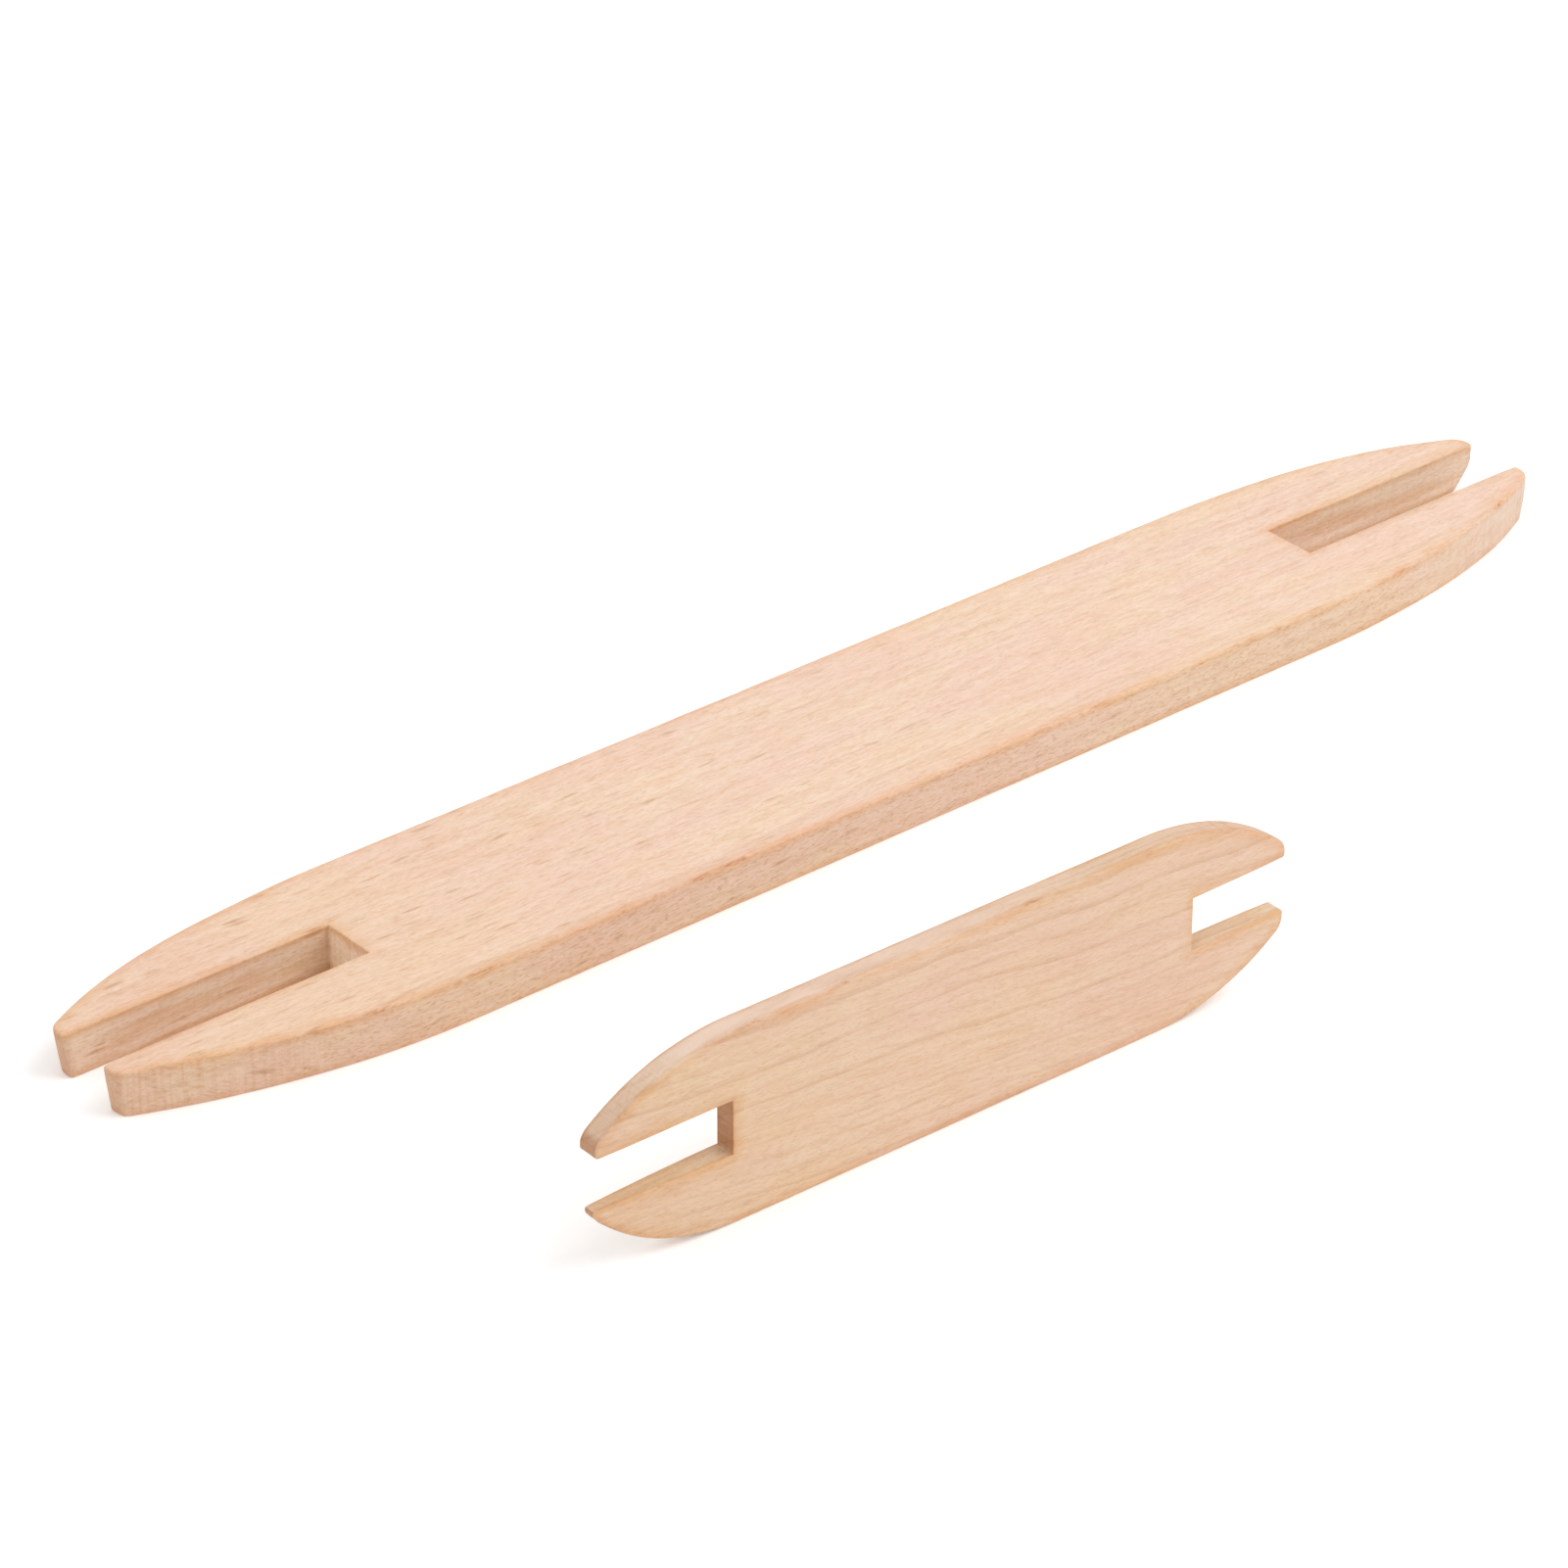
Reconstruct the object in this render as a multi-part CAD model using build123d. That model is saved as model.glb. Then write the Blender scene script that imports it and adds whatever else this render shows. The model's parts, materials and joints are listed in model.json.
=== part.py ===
from build123d import *
import os
from dataclasses import dataclass
from math import asin, degrees

# A pair of flat beech stick shuttles, in millimetres. The long one lies on its broad face on
# z = 0, centred on the origin with its length along X. The short one stands beside it on one
# of its long edges, towards -Y.

# Driving dimensions of the long shuttle.
LONG_LENGTH = 300.0
LONG_WIDTH = 41.5
LONG_THICKNESS = 8.2
LONG_STRAIGHT = 182.0  # the parallel middle stretch of its two long edges
LONG_ARC_RADIUS = 148.0  # the arcs from the parallel stretch to the tips
LONG_SLOT_WIDTH = 10.4
LONG_SLOT_DEPTH_LEFT = 49.7
LONG_SLOT_DEPTH_RIGHT = 49.7
LONG_TIP_RADIUS_LEFT = 1.6
LONG_TIP_RADIUS_RIGHT = 2.2
LONG_EDGE_EASING = 0.5

# Driving dimensions of the short shuttle.
SHORT_LENGTH = 133.4
SHORT_WIDTH = 33.5
SHORT_THICKNESS = 4.1
SHORT_STRAIGHT = 80.4
SHORT_ARC_RADIUS = 42.5
SHORT_SLOT_WIDTH = 9.4
SHORT_SLOT_DEPTH_LEFT = 25.0
SHORT_SLOT_DEPTH_RIGHT = 19.2
SHORT_TIP_RADIUS_LEFT = 3.0
SHORT_TIP_RADIUS_RIGHT = 3.0
SHORT_EDGE_EASING = 0.4

# Where the short shuttle stands: the middle of its resting edge, and its turn about Z.
SHORT_PLACE_X = -54.5
SHORT_PLACE_Y = -87.7
SHORT_TURN = -1.2


@dataclass
class Shuttle:
    """The sizes of one stick shuttle, which lies flat with its length along X."""

    length: float
    width: float
    thickness: float
    straight: float
    arc_radius: float
    slot_width: float
    slot_depth_left: float
    slot_depth_right: float
    tip_radius_left: float
    tip_radius_right: float
    edge_easing: float


LONG_SHUTTLE = Shuttle(
    length=LONG_LENGTH,
    width=LONG_WIDTH,
    thickness=LONG_THICKNESS,
    straight=LONG_STRAIGHT,
    arc_radius=LONG_ARC_RADIUS,
    slot_width=LONG_SLOT_WIDTH,
    slot_depth_left=LONG_SLOT_DEPTH_LEFT,
    slot_depth_right=LONG_SLOT_DEPTH_RIGHT,
    tip_radius_left=LONG_TIP_RADIUS_LEFT,
    tip_radius_right=LONG_TIP_RADIUS_RIGHT,
    edge_easing=LONG_EDGE_EASING,
)

SHORT_SHUTTLE = Shuttle(
    length=SHORT_LENGTH,
    width=SHORT_WIDTH,
    thickness=SHORT_THICKNESS,
    straight=SHORT_STRAIGHT,
    arc_radius=SHORT_ARC_RADIUS,
    slot_width=SHORT_SLOT_WIDTH,
    slot_depth_left=SHORT_SLOT_DEPTH_LEFT,
    slot_depth_right=SHORT_SLOT_DEPTH_RIGHT,
    tip_radius_left=SHORT_TIP_RADIUS_LEFT,
    tip_radius_right=SHORT_TIP_RADIUS_RIGHT,
    edge_easing=SHORT_EDGE_EASING,
)


def blank_outline(shuttle):
    """The outline without slots: a straight middle, and arcs tangent to it that end blunt."""
    half_length = shuttle.length / 2
    arc_turn = degrees(asin((half_length - shuttle.straight / 2) / shuttle.arc_radius))
    edge = Line((0, shuttle.width / 2), (shuttle.straight / 2, shuttle.width / 2))
    arc = JernArc(edge @ 1, edge % 1, shuttle.arc_radius, -arc_turn)
    end = Line(arc @ 1, (half_length, 0))
    quarter = Curve() + [edge, arc, end]
    half = quarter + mirror(quarter, Plane.XZ)
    return make_face(half + mirror(half, Plane.YZ))


def end_slots(shuttle):
    """The square-bottomed slots, which run in from the two ends along the middle."""
    left = Pos(-shuttle.length / 2, 0) * Rectangle(
        shuttle.slot_depth_left, shuttle.slot_width, align=(Align.MIN, Align.CENTER)
    )
    right = Pos(shuttle.length / 2, 0) * Rectangle(
        shuttle.slot_depth_right, shuttle.slot_width, align=(Align.MAX, Align.CENTER)
    )
    return left + right


def outer_tip_corners(outline, shuttle, end):
    """The two corners at one end, -1 left or 1 right, where an arc meets the blunt end of a prong."""
    return [
        corner
        for corner in outline.vertices()
        if corner.X * end > shuttle.length / 2 - 0.01 and abs(corner.Y) > shuttle.slot_width / 2 + 0.01
    ]


def shuttle_solid(shuttle):
    """One shuttle, lying flat on z = 0 with its length along X and its edges eased."""
    outline = blank_outline(shuttle) - end_slots(shuttle)
    outline = fillet(outer_tip_corners(outline, shuttle, -1), shuttle.tip_radius_left)
    outline = fillet(outer_tip_corners(outline, shuttle, 1), shuttle.tip_radius_right)
    board = extrude(outline, shuttle.thickness)
    broad_faces = board.faces().filter_by(Axis.Z)
    return fillet(broad_faces.edges(), shuttle.edge_easing)


def long_shuttle():
    """The long shuttle lies flat where it was made."""
    return shuttle_solid(LONG_SHUTTLE)


def short_shuttle():
    """The short shuttle is turned up on its long edge and set beside the long one."""
    centred = Pos(0, 0, -SHORT_THICKNESS / 2) * shuttle_solid(SHORT_SHUTTLE)
    upright = Pos(0, 0, SHORT_WIDTH / 2) * Rot(X=90) * centred
    return Pos(SHORT_PLACE_X, SHORT_PLACE_Y, 0) * Rot(Z=SHORT_TURN) * upright


def write_parts():
    """Each shuttle goes to a file of its own, named after its node."""
    os.makedirs("parts", exist_ok=True)
    makers = {"long_shuttle": long_shuttle, "short_shuttle": short_shuttle}
    for node, make in makers.items():
        export_step(make(), f"parts/{node}.step")


write_parts()
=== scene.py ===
"""A pair of flat beech stick shuttles: a long one lying flat and a short one standing on its edge."""

import json
from dataclasses import dataclass
from math import asin, atan2, cos, hypot, pi, radians, sin, sqrt, tan

import bpy
from mathutils import Matrix, Vector, geometry, kdtree, noise


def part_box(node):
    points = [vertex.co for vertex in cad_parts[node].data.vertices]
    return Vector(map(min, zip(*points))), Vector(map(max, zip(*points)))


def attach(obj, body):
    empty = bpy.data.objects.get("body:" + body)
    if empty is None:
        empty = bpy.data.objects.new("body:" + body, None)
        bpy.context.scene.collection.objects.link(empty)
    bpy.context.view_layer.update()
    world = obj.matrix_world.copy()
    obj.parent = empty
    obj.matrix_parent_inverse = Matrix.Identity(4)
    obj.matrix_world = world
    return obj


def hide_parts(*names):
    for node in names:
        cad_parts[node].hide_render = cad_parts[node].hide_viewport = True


MM = 0.001

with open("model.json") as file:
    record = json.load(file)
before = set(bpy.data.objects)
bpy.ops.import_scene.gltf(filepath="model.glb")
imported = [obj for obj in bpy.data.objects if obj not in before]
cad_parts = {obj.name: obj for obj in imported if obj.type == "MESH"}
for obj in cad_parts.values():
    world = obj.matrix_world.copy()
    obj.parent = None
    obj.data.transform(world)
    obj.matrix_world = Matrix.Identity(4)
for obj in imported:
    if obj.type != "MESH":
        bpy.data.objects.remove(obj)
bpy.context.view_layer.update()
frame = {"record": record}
mounts = {mount["name"]: mount for mount in frame["record"]["mounts"]}


# ---------------------------------------------------------------- sizes, in millimetres

LONG_STRAIGHT = 182.0
LONG_ARC_RADIUS = 148.0
LONG_SLOT_WIDTH = 10.4
SHORT_STRAIGHT = 80.4
SHORT_ARC_RADIUS = 42.5
SHORT_SLOT_WIDTH = 9.4


@dataclass
class Tip:
    """How the tip of one prong was sanded by eye."""

    fuller: float = 0.0  # how much fuller than true its arc is
    trimmed: float = 0.0  # how much its outer corner is sanded in
    undercut: float = 0.0  # how far its z = 0 side is sanded back
    thinned: float = 0.0  # how much thinner than the board it is


@dataclass
class Shuttle:
    """One stick shuttle in its own frame: flat on z = 0, length along X, centred on the origin.

    A pair of values is for the left end and the right end.
    """

    name: str
    length: float
    width: float
    thickness: float
    straight: float  # the parallel middle stretch of the long edges
    arc_radius: float
    slot_width: float
    slot_bottoms: tuple  # their x
    tip_radii: tuple  # where an arc meets the blunt end of a prong
    inner_radius: float  # where the blunt end meets the slot
    easing_top: float  # mean rounding of the arrises
    easing_bottom: float
    tips: dict  # a Tip for each end and side, where upper is +y
    place: Matrix


def read_long_shuttle():
    """The long shuttle's own frame is parallel to the shared one."""
    low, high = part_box("long_shuttle")
    size = (high - low) / MM
    centre = (low + high) / 2
    return Shuttle(
        name="long_shuttle_wood",
        length=size.x,
        width=size.y,
        thickness=size.z,
        straight=LONG_STRAIGHT,
        arc_radius=LONG_ARC_RADIUS,
        slot_width=LONG_SLOT_WIDTH,
        slot_bottoms=tuple(mounts["long_slot_" + end]["pos_m"][0] / MM for end in ("left", "right")),
        tip_radii=(2.4, 3.2),
        inner_radius=0.75,
        easing_top=0.55,
        easing_bottom=0.35,
        tips={
            ("left", "upper"): Tip(fuller=1.1, undercut=1.2),
            ("left", "lower"): Tip(fuller=-0.3, undercut=1.0),
            ("right", "upper"): Tip(fuller=1.0, undercut=4.0),
            ("right", "lower"): Tip(fuller=0.5, undercut=1.0),
        },
        place=Matrix.Translation((centre.x, centre.y, low.z)),
    )


def read_short_shuttle():
    """The short shuttle's own frame comes from its slots, which lie on its long axis."""
    low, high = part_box("short_shuttle")
    left = Vector(mounts["short_slot_left"]["pos_m"])
    right = Vector(mounts["short_slot_right"]["pos_m"])
    along = (right - left).normalized()
    turn = atan2(along.y, along.x)
    centre = (low + high) / 2
    size = (high - low) / MM
    # The box holds the turned board: its two sides give the board's length and thickness.
    c, s = cos(turn), abs(sin(turn))
    length = (size.x * c - size.y * s) / (c * c - s * s)
    thickness = (size.y * c - size.x * s) / (c * c - s * s)
    outward = Vector((-sin(turn), cos(turn), 0))
    corner = centre + outward * (thickness / 2 * MM)
    place = Matrix.Translation(corner) @ Matrix.Rotation(turn, 4, "Z") @ Matrix.Rotation(pi / 2, 4, "X")
    return Shuttle(
        name="short_shuttle_wood",
        length=length,
        width=size.z,
        thickness=thickness,
        straight=SHORT_STRAIGHT,
        arc_radius=SHORT_ARC_RADIUS,
        slot_width=SHORT_SLOT_WIDTH,
        slot_bottoms=((left - centre).dot(along) / MM, (right - centre).dot(along) / MM),
        tip_radii=(3.0, 3.0),
        inner_radius=0.6,
        easing_top=0.45,
        easing_bottom=0.4,
        tips={
            ("left", "upper"): Tip(trimmed=0.5),
            ("left", "lower"): Tip(trimmed=1.6, thinned=2.0),
            ("right", "upper"): Tip(trimmed=0.3, undercut=0.2, thinned=0.8),
            ("right", "lower"): Tip(thinned=0.8),
        },
        place=place,
    )


# ---------------------------------------------------------------- the outline

EDGE_STEP = 1.1  # spacing of outline points along straights and arcs
CORNER_STEPS = 7  # points round a small corner


def run_of_points(start, end):
    """Evenly spaced points from start up to, but not at, end."""
    count = max(1, round((end - start).length / EDGE_STEP))
    return [start.lerp(end, i / count) for i in range(count)]


def rounded_corner(corner, way_in, way_out, radius):
    """The points of a fillet where the outline turns from way_in to way_out."""
    turn = way_in.angle_signed(way_out)
    start = corner - way_in * radius * tan(abs(turn) / 2)
    centre = start + Vector((-way_in.y, way_in.x)) * (radius if turn < 0 else -radius)
    spoke = start - centre
    points = []
    for i in range(CORNER_STEPS + 1):
        points.append(centre + Matrix.Rotation(-turn * i / CORNER_STEPS, 2) @ spoke)
    return points


def prong_outline(shuttle, end):
    """The upper prong at one end, -1 left or 1 right, from its slot's bottom to the straight edge."""
    left_or_right = 0 if end < 0 else 1
    slot_bottom = shuttle.slot_bottoms[left_or_right] * end
    half_slot = shuttle.slot_width / 2
    half_length = shuttle.length / 2
    run = half_length - shuttle.straight / 2
    bend = asin(run / shuttle.arc_radius)
    centre = Vector((shuttle.straight / 2, shuttle.width / 2 - shuttle.arc_radius))
    tip_y = centre.y + sqrt(shuttle.arc_radius**2 - run**2)
    inner = rounded_corner(Vector((half_length, half_slot)), Vector((1, 0)), Vector((0, 1)),
                           shuttle.inner_radius)
    outer = rounded_corner(Vector((half_length, tip_y)), Vector((0, 1)),
                           Vector((-cos(bend), sin(bend))), shuttle.tip_radii[left_or_right])
    first = asin((outer[-1].x - centre.x) / shuttle.arc_radius)
    count = round(first * shuttle.arc_radius / EDGE_STEP)
    arc = []
    for i in range(1, count + 1):
        angle = first * (1 - i / count)
        arc.append(centre + shuttle.arc_radius * Vector((sin(angle), cos(angle))))
    slot_wall = run_of_points(Vector((slot_bottom, half_slot)), inner[0])
    prong = slot_wall + inner + run_of_points(inner[-1], outer[0])[1:] + outer + arc
    return [Vector((p.x * end, p.y)) for p in prong]


def outline(shuttle):
    """The whole outline, anticlockwise, as 2-D points."""
    right = prong_outline(shuttle, 1)
    left = list(reversed(prong_outline(shuttle, -1)))
    upper = right + run_of_points(right[-1], left[0])[1:] + left
    lower = [Vector((p.x, -p.y)) for p in reversed(upper)]
    slot_end_left = run_of_points(upper[-1], lower[0])[1:]
    slot_end_right = run_of_points(lower[-1], upper[0])[1:]
    return upper + slot_end_left + lower + slot_end_right


def in_slot(shuttle, point):
    """Whether a point of the outline is on the wall or the bottom of a slot."""
    tolerance = 0.01
    mouth = shuttle.length / 2 - shuttle.inner_radius
    return abs(point.y) < shuttle.slot_width / 2 + tolerance and abs(point.x) < mouth


def inside(shuttle, x, y):
    """Whether a place is inside the outline."""
    if abs(y) < shuttle.slot_width / 2 and not shuttle.slot_bottoms[0] < x < shuttle.slot_bottoms[1]:
        return False
    past = abs(x) - shuttle.straight / 2
    if past <= 0:
        return abs(y) < shuttle.width / 2
    return abs(y) < shuttle.width / 2 - shuttle.arc_radius + sqrt(shuttle.arc_radius**2 - past**2)


def inward_mitres(points):
    """For each point, the step into the wood that moves both of its neighbouring edges in by 1."""
    mitres = []
    for i, point in enumerate(points):
        before = (point - points[i - 1]).normalized()
        after = (points[(i + 1) % len(points)] - point).normalized()
        normal_before = Vector((-before.y, before.x))
        normal_after = Vector((-after.y, after.x))
        middle = (normal_before + normal_after).normalized()
        mitres.append(middle / middle.dot(normal_after))
    return mitres


# ---------------------------------------------------------------- traces of hand work

TEAR_DEPTH = 0.12  # how much the torn spots of a top arris add to its rounding
TEAR_DEPTH_BOTTOM = 0.4 * TEAR_DEPTH
WALL_HOLLOW = 0.035  # the mean hollow of the walls, half way down them
FACE_HOLLOW = 0.03  # the mean hollow of the broad faces
FACE_HOLLOW_EDGE = 3.0  # how far in from an arris it is reached

FULLER_REACH = 48.0  # how far from a tip each kind of sanding starts
THINNING_REACH = 24.0
TRIM_REACH = 14.0
UNDERCUT_REACH = 13.0
SLOT_CLEARANCE = 3.0  # how far from a slot's wall fuller and trimmed count in full
FULLEST = 27 / 4  # brings the most that (1 - fade) * fade**2 can be to 1
UNDERCUT_TOP = {"left": 0.0, "right": 0.42}  # how far down the blunt end it starts, as a share
UNDERCUT_CURVE = {"left": 1.3, "right": 1.15}  # the power by which it deepens below that


def wave(*place):
    """Smooth noise from -1 to 1 at a place given in wavelengths."""
    return noise.noise(Vector(place))


def torn(shuttle, point, side):
    """How torn the arris is at a point: short spots, in longer stretches, where the grain lifted."""
    if in_slot(shuttle, point):
        return 0.0
    spot = wave(point.x / 6.5, point.y / 9 + side * 3.3, shuttle.width)
    stretch = wave(point.x / 34, point.y / 30, shuttle.width + side * 4.1)
    least, steepness = 0.25, 4
    return max(0.0, min(1.0, (spot + 0.6 * stretch - least) * steepness))


def easing_at(shuttle, point, side):
    """The rounding of the arris, top 1 or bottom -1, by hand sanding, which is never quite even."""
    mean = shuttle.easing_top if side > 0 else shuttle.easing_bottom
    if in_slot(shuttle, point):
        # The sandpaper hardly gets into a slot: the rounding falls by 40% over its first 5 mm.
        mean *= 1 - 0.4 * min(1.0, (shuttle.length / 2 - abs(point.x)) / 5)
    slow = 0.30 * wave(point.x / 23, point.y / 9, side * 7.3)
    quick = 0.14 * wave(point.x / 6, point.y / 5, side * 3.1)
    tear_depth = TEAR_DEPTH if side > 0 else TEAR_DEPTH_BOTTOM
    easing = mean * (1 + slow + quick) + tear_depth * torn(shuttle, point, side)
    return min(easing, 0.85 * shuttle.inner_radius)  # a wider rounding would fold over at the tips


def fading(reach, limit):
    """From 1 at a tip to 0 where its sanding starts."""
    return max(0.0, 1 - reach / limit)


def sanded_tip(shuttle, x, y, z):
    """Moves a point near a tip as the tips were sanded by eye: back, thinner, fuller or flatter."""
    end = "left" if x < 0 else "right"
    outward = -1 if x < 0 else 1
    upward = 1 if y > 0 else -1
    tip = shuttle.tips[end, "upper" if y > 0 else "lower"]
    reach = shuttle.length / 2 - abs(x)
    low = 1 - z / shuttle.thickness

    cut_share = max(0.0, low - UNDERCUT_TOP[end]) / (1 - UNDERCUT_TOP[end])
    back = tip.undercut * cut_share ** UNDERCUT_CURVE[end] * fading(reach, UNDERCUT_REACH)
    raised = tip.thinned * (low - 0.5) * fading(reach, THINNING_REACH) ** 1.5

    fade = fading(reach, FULLER_REACH)
    fuller = tip.fuller * FULLEST * (1 - fade) * fade**2
    wider = fuller - tip.trimmed * fading(reach, TRIM_REACH) ** 2
    clear_of_slot = min(1.0, max(0.0, (abs(y) - shuttle.slot_width / 2) / SLOT_CLEARANCE))
    return Vector((x - back * outward, y + wider * clear_of_slot * upward, z + raised))


# ---------------------------------------------------------------- the board's mesh

ROUNDING_STEPS = 5
WALL_STEPS = 6
FACE_STEP = 2.0  # spacing of the points inside a broad face
ROW_STEP = FACE_STEP * 0.866  # rows of equilateral triangles
FACE_MARGIN = 0.45  # the least distance of those points from the eased arris
WIDEST_EASING = 1.45  # how many times its mean an easing can be
ARRIS_FADE = 0.8  # how far the burnish of an arris reaches down a wall
SHARP_ANGLE = radians(50)


def face_points(shuttle, points):
    """Staggered places inside a broad face, clear of its arrises, each with its distance from them."""
    nearest = kdtree.KDTree(len(points))
    for i, point in enumerate(points):
        nearest.insert(point.to_3d(), i)
    nearest.balance()
    clear = shuttle.easing_top * WIDEST_EASING + TEAR_DEPTH + FACE_MARGIN
    found = []
    for row in range(int(shuttle.width / ROW_STEP) + 1):
        y = -shuttle.width / 2 + row * ROW_STEP
        for column in range(int(shuttle.length / FACE_STEP) + 1):
            x = -shuttle.length / 2 + (column + row % 2 / 2) * FACE_STEP
            gap = nearest.find((x, y, 0))[2]
            if gap > clear and inside(shuttle, x, y):
                found.append((x, y, gap))
    return found


class BoardMesh:
    """The points and faces of a board, with what the material needs to know at each point."""

    def __init__(self, shuttle):
        self.shuttle = shuttle
        self.outline = outline(shuttle)
        self.mitres = inward_mitres(self.outline)
        self.vertices = []
        self.faces = []
        self.marks = {"arris": [], "slot": [], "end": [], "wall": [], "tear": []}

    def add_point(self, place, **marks):
        self.vertices.append(place)
        for name, values in self.marks.items():
            values.append(marks.get(name, 0.0))

    def add_ring(self, insets, heights, arris, wall, tears):
        """A ring of points along the outline, each moved in by its inset."""
        for i, (point, mitre) in enumerate(zip(self.outline, self.mitres)):
            place = point + mitre * insets[i]
            self.add_point(
                sanded_tip(self.shuttle, place.x, place.y, heights[i]),
                arris=arris[i],
                slot=float(in_slot(self.shuttle, point)) * wall,
                end=abs(mitre.normalized().x) * wall,
                wall=wall,
                tear=tears[i],
            )

    def add_rounding_ring(self, easings, share, side):
        """A ring on the rounding of the top 1 or bottom -1 arris: share 0 at the face, 1 at the wall."""
        angle = pi / 2 * share
        insets = [easing * (1 - sin(angle)) for easing in easings]
        heights = [easing * (1 - cos(angle)) for easing in easings]
        tears = [0.0] * len(easings)
        if side > 0:
            heights = [self.shuttle.thickness - height for height in heights]
            tears = [torn(self.shuttle, point, side) * sin(pi * share) ** 2 for point in self.outline]
        self.add_ring(insets, heights, [1.0] * len(easings), share, tears)

    def add_wall_ring(self, easings_top, easings_bottom, share):
        """A ring on the wall between the roundings, at a share of the way down it."""
        top = self.shuttle.thickness
        insets, heights, burnish = [], [], []
        for point, easing_top, easing_bottom in zip(self.outline, easings_top, easings_bottom):
            z = (top - easing_top) * (1 - share) + easing_bottom * share
            uneven = 1 + wave(point.x / 4, point.y / 4, z / 5)
            insets.append(WALL_HOLLOW * uneven * sin(pi * share))
            heights.append(z)
            gap = min(top - z - easing_top, z - easing_bottom)
            burnish.append(0.8 * max(0.0, 1 - gap / ARRIS_FADE))
        self.add_ring(insets, heights, burnish, 1.0, [0.0] * len(self.outline))

    def add_walls(self):
        """The rounding of the top arris, the walls, and the rounding of the bottom arris."""
        easings_top = [easing_at(self.shuttle, point, 1) for point in self.outline]
        easings_bottom = [easing_at(self.shuttle, point, -1) for point in self.outline]
        for k in range(ROUNDING_STEPS + 1):
            self.add_rounding_ring(easings_top, k / ROUNDING_STEPS, 1)
        for k in range(1, WALL_STEPS):
            self.add_wall_ring(easings_top, easings_bottom, k / WALL_STEPS)
        for k in reversed(range(ROUNDING_STEPS + 1)):
            self.add_rounding_ring(easings_bottom, k / ROUNDING_STEPS, -1)
        self.join_rings()

    def join_rings(self):
        """Quads between each ring and the next."""
        count = len(self.outline)
        for first in range(0, len(self.vertices) - count, count):
            for i in range(count):
                j = (i + 1) % count
                self.faces.append((first + i, first + count + i, first + count + j, first + j))

    def add_broad_face(self, rim_start, side):
        """The top 1 or bottom -1 face: a ring's own points, points inside, and triangles between."""
        count = len(self.outline)
        z = self.shuttle.thickness if side > 0 else 0.0
        rim = [v.xy for v in self.vertices[rim_start : rim_start + count]]
        inner = face_points(self.shuttle, self.outline)
        spots = [sanded_tip(self.shuttle, x, y, z) for x, y, gap in inner]
        loop = [(i, (i + 1) % count) for i in range(count)]
        places = rim + [spot.xy for spot in spots]
        made = geometry.delaunay_2d_cdt(places, loop, [list(range(count))], 1, 1e-5)
        triangles, sources = made[2], made[3]
        index = {}
        for k, inputs in enumerate(sources):
            source = min(inputs)
            if source < count:
                index[k] = rim_start + source
                continue
            x, y, gap = inner[source - count]
            dip = FACE_HOLLOW * (1 + wave(x / 31, y / 12, side * 5.0)) * min(1.0, gap / FACE_HOLLOW_EDGE)
            burnish = 0.5 * max(0.0, 1 - (gap - self.shuttle.easing_top) / (2 * ARRIS_FADE))
            index[k] = len(self.vertices)
            self.add_point(spots[source - count] - Vector((0, 0, side * dip)), arris=burnish)
        for triangle in triangles:
            corners = [index[k] for k in triangle]
            self.faces.append(tuple(corners if side > 0 else reversed(corners)))


def build_board(shuttle):
    """The visible board, as an object in its place."""
    board_mesh = BoardMesh(shuttle)
    board_mesh.add_walls()
    last_ring = len(board_mesh.vertices) - len(board_mesh.outline)
    board_mesh.add_broad_face(0, 1)
    board_mesh.add_broad_face(last_ring, -1)

    mesh = bpy.data.meshes.new(shuttle.name)
    mesh.from_pydata([place * MM for place in board_mesh.vertices], [], board_mesh.faces)
    for name, values in board_mesh.marks.items():
        mesh.attributes.new(name, "FLOAT", "POINT").data.foreach_set("value", values)
    mesh.validate()
    mesh.shade_smooth()
    mesh.set_sharp_from_angle(angle=SHARP_ANGLE)
    board = bpy.data.objects.new(shuttle.name, mesh)
    bpy.context.scene.collection.objects.link(board)
    board.matrix_world = shuttle.place
    return board


# ---------------------------------------------------------------- wiring for the materials


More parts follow.
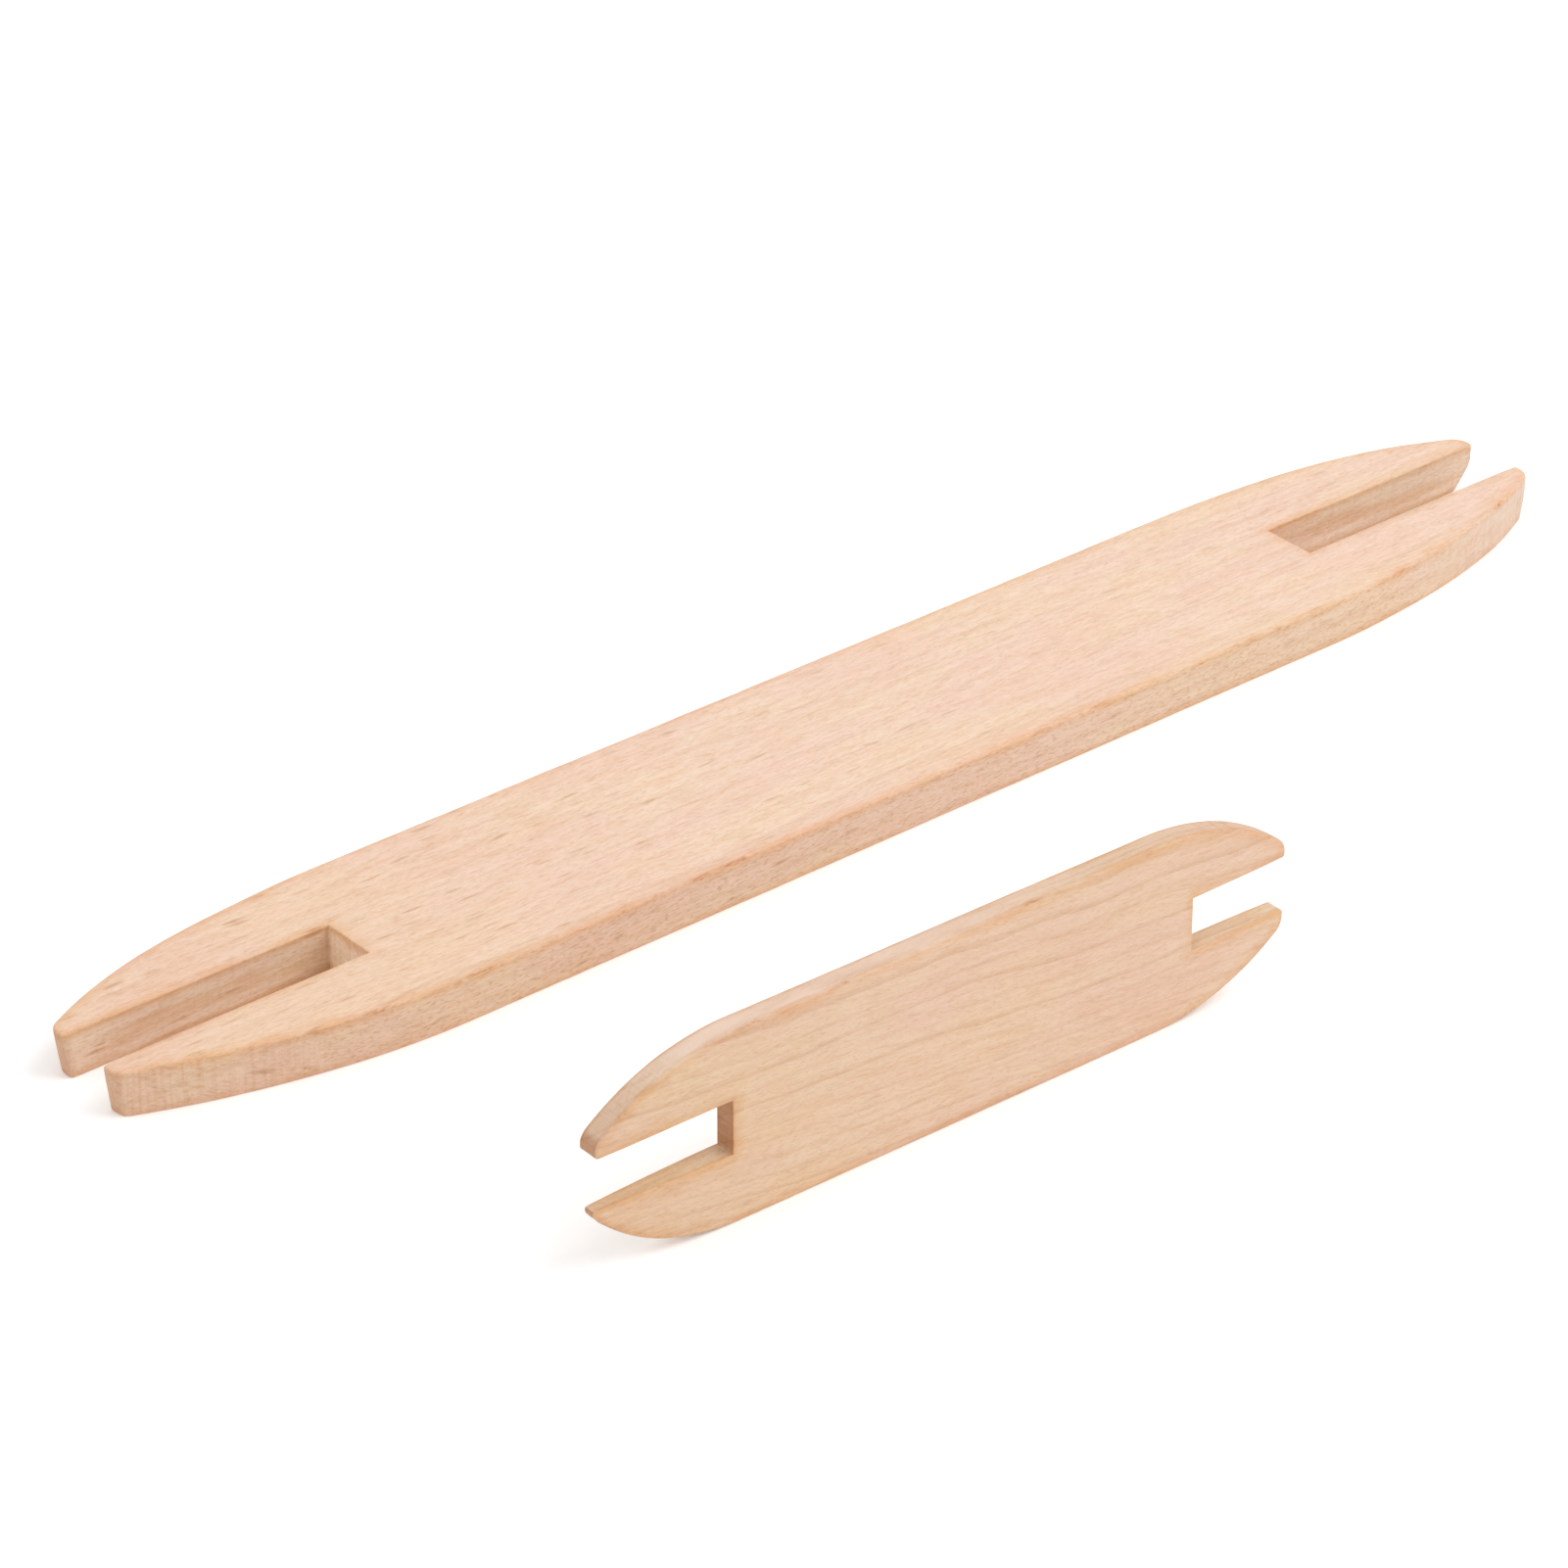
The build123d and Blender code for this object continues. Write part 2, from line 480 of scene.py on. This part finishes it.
class Wiring:
    """Adds nodes to a material and joins them. A value is a number, a tuple or another node's output."""

    def __init__(self, name):
        self.material = bpy.data.materials.new(name)
        self.material.use_nodes = True
        self.tree = self.material.node_tree
        self.shader = self.tree.nodes["Principled BSDF"]

    def put(self, socket, value):
        if isinstance(value, bpy.types.NodeSocket):
            self.tree.links.new(value, socket)
        else:
            socket.default_value = value

    def set_shader(self, name, value):
        self.put(self.shader.inputs[name], value)

    def node(self, kind, inputs=None, output=0, **settings):
        made = self.tree.nodes.new("ShaderNode" + kind)
        for name, value in settings.items():
            setattr(made, name, value)
        for key, value in (inputs or {}).items():
            self.put(made.inputs[key], value)
        return made.outputs[output]

    def math(self, operation, a, b=0.0, c=0.0):
        return self.node("Math", {0: a, 1: b, 2: c}, operation=operation)

    def times(self, a, b):
        return self.math("MULTIPLY", a, b)

    def plus(self, a, b):
        return self.math("ADD", a, b)

    def less(self, a, b):
        return self.math("SUBTRACT", a, b)

    def vector(self, operation, a, b=(0, 0, 0), c=(0, 0, 0)):
        return self.node("VectorMath", {0: a, 1: b, 2: c}, operation=operation)

    def ramp(self, value, start, stop, low=0.0, high=1.0):
        """A smooth step from low to high while the value goes from start to stop."""
        inputs = {"Value": value, "From Min": start, "From Max": stop, "To Min": low, "To Max": high}
        return self.node("MapRange", inputs, interpolation_type="SMOOTHSTEP")

    def stretched(self, place, wavelengths, seed):
        """A place in wavelengths, moved by a seed so that no two patterns line up."""
        shares = tuple(1 / w for w in wavelengths)
        return self.vector("MULTIPLY_ADD", place, shares, (seed * 3.1, seed * 7.7, seed * 5.3))

    def noise(self, place, wavelengths, seed, detail=2.0, output="Fac"):
        inputs = {"Vector": self.stretched(place, wavelengths, seed), "Scale": 1.0, "Detail": detail}
        return self.node("TexNoise", inputs, output)

    def blend(self, share, a, b, blend_type="MIX"):
        inputs = {0: share, 6: a, 7: b}
        return self.node("Mix", inputs, 2, data_type="RGBA", blend_type=blend_type)

    def mark(self, name):
        return self.node("Attribute", output="Fac", attribute_name=name)


# ---------------------------------------------------------------- beech


@dataclass
class Beech:
    """How one piece of beech looks. Lengths are in millimetres, colours are linear."""

    pale: tuple
    pink: tuple
    late: tuple  # the dense late wood at the end of each year
    left: tuple  # what the wood's left end multiplies the colour by: painted shade, away from the light at the right
    side: tuple  # what the walls multiply it by: partly the wood cut across the rays, partly painted shade
    slot: tuple  # painted light: what the walls of the slots multiply it by as well, to lift the shade inside them
    slot_bottom: tuple
    # slot_bottom: what the bottoms of the slots multiply it by as well; on the long board, painted light
    # that lifts their shade
    slot_arris: tuple
    end_grain: tuple
    rub: tuple  # what a burnished arris multiplies it by
    grain: float  # how strongly the fibres show
    pith: tuple  # where the tree's middle was, as y and z
    slope: tuple  # how y and z drift along the board
    ring_width: float
    late_start: float  # where in a ring its late wood begins, as a share of the ring
    ring_strength: float
    drift: float  # how much the rings wander
    flecks: tuple  # the strength of the ray flecks at the left and at the right
    dashes: float  # the strength of the short dark dashes on the walls
    dust: tuple  # where along the board its pale dust begins and is full, and how much there is
    dust_colour: tuple
    half_length: float


# What each feature of the wood multiplies the colour by where it is strongest.
BLUSH_TINT = (1.0, 0.95, 0.88)
FIBRE_TINT = (0.93, 0.87, 0.81)
THREAD_TINT = (0.91, 0.84, 0.77)
PORE_TINT = (0.70, 0.55, 0.42)
FLECK_TINT = (0.70, 0.53, 0.38)
DASH_TINT = (0.80, 0.66, 0.54)
SCORE_TINT = (0.91, 0.83, 0.77)
BAND_TINT = (0.93, 0.84, 0.74)
TEAR_TINT = (0.72, 0.52, 0.36)

LATE_END = 0.93  # where in a ring its late wood stops, as a share of the ring
RELIEF_DEPTH = 0.03  # in millimetres


class BeechMaterial(Wiring):
    """Sanded beech whose grain runs through the board, so that every face shows its own cut of it."""

    def __init__(self, name, wood):
        super().__init__(name)
        self.wood = wood
        metres = self.node("TexCoord", output="Object")
        self.place = self.node("VectorMath", {0: metres, "Scale": 1 / MM}, operation="SCALE")
        self.arris = self.mark("arris")
        self.slot = self.mark("slot")
        self.end = self.mark("end")
        self.wall = self.mark("wall")
        self.tear = self.mark("tear")
        self.find_ring_places()
        self.find_grain()
        self.find_wall_patterns()
        self.colour_wood()
        self.colour_walls()
        self.colour_arrises()
        self.colour_dust()
        self.finish_surface()

    def find_ring_places(self):
        """A place as length along the tree, distance round the pith, and distance from the pith."""
        wood = self.wood
        half = (0.5, 0.5, 0.5)
        wander = self.vector("SUBTRACT", self.noise(self.place, (70, 22, 22), 1, output="Color"), half)
        ripple = self.vector("SUBTRACT", self.noise(self.place, (16, 7, 7), 2, output="Color"), half)
        moved = self.vector("MULTIPLY_ADD", wander, (0, wood.drift * 4, wood.drift * 4), self.place)
        moved = self.vector("MULTIPLY_ADD", ripple, (0, wood.drift, wood.drift), moved)
        apart = self.node("SeparateXYZ", {0: moved})
        x, y, z = apart.node.outputs
        y = self.less(self.math("MULTIPLY_ADD", x, wood.slope[0], y), wood.pith[0])
        z = self.less(self.math("MULTIPLY_ADD", x, wood.slope[1], z), wood.pith[1])
        self.along = x
        self.radius = self.math("SQRT", self.plus(self.times(y, y), self.times(z, z)))
        around = self.times(self.math("ARCTAN2", z, y), hypot(*wood.pith))
        self.ring_place = self.node("CombineXYZ", {0: x, 1: around, 2: self.radius})

    def year_rings(self):
        """The share of late wood: it builds up through each year's ring and stops short at its end."""
        years = self.times(self.radius, 1 / self.wood.ring_width)
        through = self.math("FRACT", years)
        build_up = self.ramp(through, self.wood.late_start, LATE_END)
        stop = self.ramp(through, LATE_END, 1.0, 1.0, 0.0)
        year = self.node("TexWhiteNoise", {"W": self.math("FLOOR", years)}, noise_dimensions="1D")
        return self.times(self.times(build_up, stop), self.ramp(year, 0.0, 1.0, 0.35, 1.0))

    def ray_flecks(self, size, seed, share):
        """Short dark spindles along the grain: rays, thin sheets that run out from the pith, cut across."""
        inputs = {"Vector": self.stretched(self.ring_place, size, seed), "Scale": 1.0}
        distance = self.node("TexVoronoi", inputs, "Distance")
        spindle = self.ramp(distance, 0.05, 0.36, 1.0, 0.0)
        lot = self.node("SeparateColor", {0: distance.node.outputs["Color"]})
        return self.times(spindle, self.ramp(lot, 1 - share, 1.0))

    def find_grain(self):
        """What runs along the grain: fibres and finer threads, pores and ray flecks."""
        self.fibres = self.noise(self.ring_place, (7, 0.8, 0.8), 3, 3.0)
        self.threads = self.noise(self.ring_place, (1.5, 0.3, 0.3), 4, 3.0)
        self.pores = self.ramp(self.noise(self.ring_place, (0.9, 0.14, 0.14), 7, 1.0), 0.60, 0.72)
        large = self.ray_flecks((8.0, 0.85, 9.0), 8, 0.8)
        small = self.times(self.ray_flecks((3.8, 0.5, 5.0), 9, 0.6), 0.55)
        strength = self.ramp(self.along, -self.wood.half_length, self.wood.half_length, *self.wood.flecks)
        self.flecks = self.times(self.math("MAXIMUM", large, small), strength)

    def find_wall_patterns(self):
        """What only the walls show: the open ends of fibres, dashes, and scores of saw and sander."""
        self.fibre_ends = self.ramp(self.end, 0.5, 1.0)

        specks = self.noise(self.place, (1.2, 0.34, 0.34), 14, 1.0)
        dashes = self.times(self.ramp(specks, 0.55, 0.68, 0.0, self.wood.dashes), self.wall)
        dashes = self.times(dashes, self.ramp(self.end, 0.05, 0.35, 1.0, 0.3))
        self.dashes = self.times(dashes, self.ramp(self.slot, 0.0, 1.0, 1.0, 0.5))

        scores = self.noise(self.place, (0.75, 0.75, 24), 10, 3.0)
        scored = self.math("MAXIMUM", self.ramp(self.end, 0.05, 0.4), self.times(self.slot, 0.25))
        self.scored = self.times(scored, self.ramp(scores, 0.42, 0.66))

    def tint(self, share, factor):
        """Multiplies the colour by a factor, as far as the share goes."""
        self.colour = self.blend(share, self.colour, factor + (1,), "MULTIPLY")

    def colour_wood(self):
        """The colour of the wood: pink clouds, rings, everything along the grain, and painted shade at the
        left end.
        """
        wood = self.wood
        clouds = self.ramp(self.noise(self.place, (34, 11, 11), 5), 0.38, 0.62)
        self.colour = self.blend(clouds, wood.pale + (1,), wood.pink + (1,))
        late = self.times(self.year_rings(), wood.ring_strength)
        self.colour = self.blend(late, self.colour, wood.late + (1,))
        self.tint(self.ramp(self.noise(self.place, (17, 5, 5), 6), 0.45, 0.7, 0.0, 0.5), BLUSH_TINT)
        # Painted shade: darker towards the left end, away from the light at the right.
        self.tint(self.ramp(self.along, 0.0, -wood.half_length), wood.left)
        self.tint(self.ramp(self.fibres, 0.38, 0.68, 0.0, 0.6 * wood.grain), FIBRE_TINT)
        self.tint(self.ramp(self.threads, 0.42, 0.72, 0.0, 0.7 * wood.grain), THREAD_TINT)
        self.tint(self.times(self.pores, 0.35), PORE_TINT)
        self.tint(self.flecks, FLECK_TINT)
        self.tint(self.dashes, DASH_TINT)

    def colour_walls(self):
        """The walls: a darker tone that is partly painted shade, fine scores through the board, darker
        fibre ends, and painted light in the slots.
        """
        wood = self.wood
        # Partly painted shade: the walls are darker than the broad faces, besides showing another cut of
        # the grain.
        self.tint(self.wall, wood.side)
        self.tint(self.times(self.scored, 0.8), SCORE_TINT)
        self.tint(self.less(self.fibre_ends, self.times(self.fibre_ends, self.slot)), wood.end_grain)
        bands = self.ramp(self.noise(self.place, (36, 9, 2.6), 11), 0.46, 0.62)
        # Painted light: the walls of the slots are lightened to lift the shade inside them, and on the long
        # board their bottoms too.
        self.tint(self.slot, wood.slot)
        self.tint(self.times(self.slot, bands), BAND_TINT)
        self.tint(self.times(self.slot, self.fibre_ends), wood.slot_bottom)

    def colour_arrises(self):
        """The arrises: burnished orange by the sanding, unevenly, with darker wood in the torn spots."""
        uneven = self.ramp(self.noise(self.place, (9, 4, 4), 12, 3.0), 0.32, 0.62, 0.4, 1.0)
        self.rubbed = self.times(self.arris, uneven)
        self.tint(self.rubbed, self.wood.rub)
        self.tint(self.times(self.times(self.slot, self.arris), 0.8), self.wood.slot_arris)
        self.tint(self.times(self.tear, self.ramp(self.threads, 0.35, 0.6, 0.3, 1.0)), TEAR_TINT)

    def colour_dust(self):
        """Pale bloom on the walls, where dust of the sanding stayed in the pores."""
        begins, full, amount = self.wood.dust
        along = self.times(self.along, 1 / self.wood.half_length)
        dust = self.times(self.wall, self.ramp(along, begins, full, 0.0, amount))
        smears = self.ramp(self.noise(self.place, (13, 13, 4), 13, 3.0), 0.32, 0.68, 0.35, 1.0)
        dust = self.times(dust, smears)
        dust = self.times(dust, self.ramp(self.slot, 0.0, 1.0, 1.0, 0.1))
        dust = self.times(dust, self.ramp(self.fibre_ends, 0.25, 0.8, 1.0, 0.2))
        self.dust = self.times(dust, self.ramp(self.rubbed, 0.2, 1.0, 1.0, 0.35))
        self.colour = self.blend(self.dust, self.colour, self.wood.dust_colour + (1,))

    def finish_surface(self):
        """The shader's sockets, with the roughness and the relief that the patterns give."""
        roughness = self.plus(0.56, self.times(self.fibres, 0.12))
        roughness = self.plus(roughness, self.times(self.fibre_ends, 0.08))
        roughness = self.less(roughness, self.times(self.rubbed, 0.14))
        roughness = self.plus(roughness, self.times(self.dust, 0.12))

        height = self.plus(self.times(self.fibres, 0.4), self.times(self.threads, 0.5))
        height = self.less(height, self.times(self.pores, 0.45))
        height = self.less(height, self.times(self.flecks, 0.4))
        height = self.less(height, self.times(self.scored, 0.6))
        height = self.less(height, self.tear)
        relief = self.node("Bump", {"Height": height, "Distance": RELIEF_DEPTH * MM, "Strength": 1.0})

        self.set_shader("Base Color", self.colour)
        self.set_shader("Roughness", roughness)
        self.set_shader("Normal", relief)
        self.set_shader("Specular IOR Level", 0.35)


long_size = read_long_shuttle()
short_size = read_short_shuttle()

LONG_BEECH = Beech(
    pale=(0.800, 0.612, 0.470),
    pink=(0.795, 0.587, 0.477),
    late=(0.700, 0.485, 0.345),
    left=(0.98, 0.945, 0.91),
    side=(0.875, 0.855, 0.82),
    # slot and slot_bottom above 1: painted light that lifts the shade in the slots
    slot=(1.11, 1.19, 1.25),
    slot_bottom=(1.27, 1.32, 1.35),
    slot_arris=(0.88, 0.78, 0.68),
    end_grain=(0.90, 0.82, 0.74),
    rub=(0.96, 0.83, 0.68),
    grain=1.2,
    pith=(-45.0, -42.0),
    slope=(0.010, -0.014),
    ring_width=2.9,
    late_start=0.35,
    ring_strength=0.35,
    drift=1.0,
    flecks=(0.78, 0.25),
    dashes=0.6,
    dust=(0.7, 0.93, 0.40),
    dust_colour=(0.64, 0.555, 0.475),
    half_length=long_size.length / 2,
)
SHORT_BEECH = Beech(
    pale=(0.692, 0.506, 0.366),
    pink=(0.687, 0.485, 0.368),
    late=(0.575, 0.360, 0.232),
    left=(0.965, 0.955, 0.885),
    side=(0.95, 0.94, 0.91),
    # slot above 1: painted light that lifts the shade in the slots
    slot=(1.10, 1.17, 1.21),
    slot_bottom=(0.64, 0.46, 0.35),
    slot_arris=(1.0, 0.98, 0.95),
    end_grain=(0.76, 0.60, 0.48),
    rub=(0.95, 0.80, 0.62),
    grain=1.0,
    pith=(30.0, -25.0),
    slope=(0.085, 0.02),
    ring_width=2.1,
    late_start=0.6,
    ring_strength=0.5,
    drift=1.3,
    flecks=(0.25, 0.15),
    dashes=0.15,
    dust=(1.3, -0.75, 0.68),
    dust_colour=(0.785, 0.61, 0.505),
    half_length=short_size.length / 2,
)

long_board = build_board(long_size)
long_board.data.materials.append(BeechMaterial("beech_long", LONG_BEECH).material)
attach(long_board, "long")
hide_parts("long_shuttle")

short_board = build_board(short_size)
short_board.data.materials.append(BeechMaterial("beech_short", SHORT_BEECH).material)
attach(short_board, "short")
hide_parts("short_shuttle")


# ---------------------------------------------------------------- floor, light and camera, in metres

CAMERA_HEADING = radians(-39.863)
CAMERA_TILT = radians(30.63)
CAMERA_DISTANCE = 1.0594
CAMERA_AIM = Vector((-0.0097, 0.0034, 0.0))
CAMERA_LENS = 149.1  # in millimetres, like the sensor's width
SENSOR = 36.0
FLOOR_REACH = 3.0  # from the middle to each edge
KEY_DISTANCE = 2.2
KEY_ELEVATION = radians(48)
KEY_SIZE = 1.6
KEY_POWER = 20.0  # in watts
SURROUNDINGS_STRENGTH = 0.94
WHITE = (1, 1, 1, 1)


def add_to_scene(name, data):
    made = bpy.data.objects.new(name, data)
    bpy.context.scene.collection.objects.link(made)
    return made


def add_camera():
    """The camera looks down at the shuttles from the front left."""
    data = bpy.data.cameras.new("camera")
    data.lens = CAMERA_LENS
    data.sensor_width = SENSOR
    camera = add_to_scene("camera", data)
    level = Vector((-sin(CAMERA_HEADING), cos(CAMERA_HEADING), 0))
    toward = level * cos(CAMERA_TILT) - Vector((0, 0, sin(CAMERA_TILT)))
    camera.location = CAMERA_AIM - toward * CAMERA_DISTANCE
    camera.rotation_euler = (pi / 2 - CAMERA_TILT, 0, CAMERA_HEADING)
    bpy.context.scene.camera = camera


def add_floor():
    """A plain white floor, wide enough to fill the view, that glows a little like a light table."""
    corners = [(x * FLOOR_REACH, y * FLOOR_REACH, 0) for x, y in ((-1, -1), (1, -1), (1, 1), (-1, 1))]
    mesh = bpy.data.meshes.new("floor")
    mesh.from_pydata(corners, [], [(0, 1, 2, 3)])
    paper = Wiring("white_floor")
    paper.set_shader("Base Color", (0.96, 0.96, 0.96, 1))
    paper.set_shader("Roughness", 0.9)
    paper.set_shader("Specular IOR Level", 0.1)
    paper.set_shader("Emission Color", WHITE)
    paper.set_shader("Emission Strength", 0.08)
    mesh.materials.append(paper.material)
    add_to_scene("floor", mesh)


def add_key_light():
    """A large soft light, high up and square to the right of the camera's view."""
    data = bpy.data.lights.new("key", "AREA")
    data.size = KEY_SIZE
    data.energy = KEY_POWER
    key = add_to_scene("key", data)
    right = Vector((cos(CAMERA_HEADING), sin(CAMERA_HEADING), 0))
    level = right * cos(KEY_ELEVATION)
    key.location = (level + Vector((0, 0, sin(KEY_ELEVATION)))) * KEY_DISTANCE
    key.rotation_euler = (-key.location).to_track_quat("-Z", "Y").to_euler()


def add_white_surroundings():
    world = bpy.data.worlds.new("studio")
    bpy.context.scene.world = world
    world.use_nodes = True
    background = world.node_tree.nodes["Background"]
    background.inputs["Color"].default_value = WHITE
    background.inputs["Strength"].default_value = SURROUNDINGS_STRENGTH


add_camera()
add_floor()
add_key_light()
add_white_surroundings()
bpy.context.scene.view_settings.view_transform = "Standard"
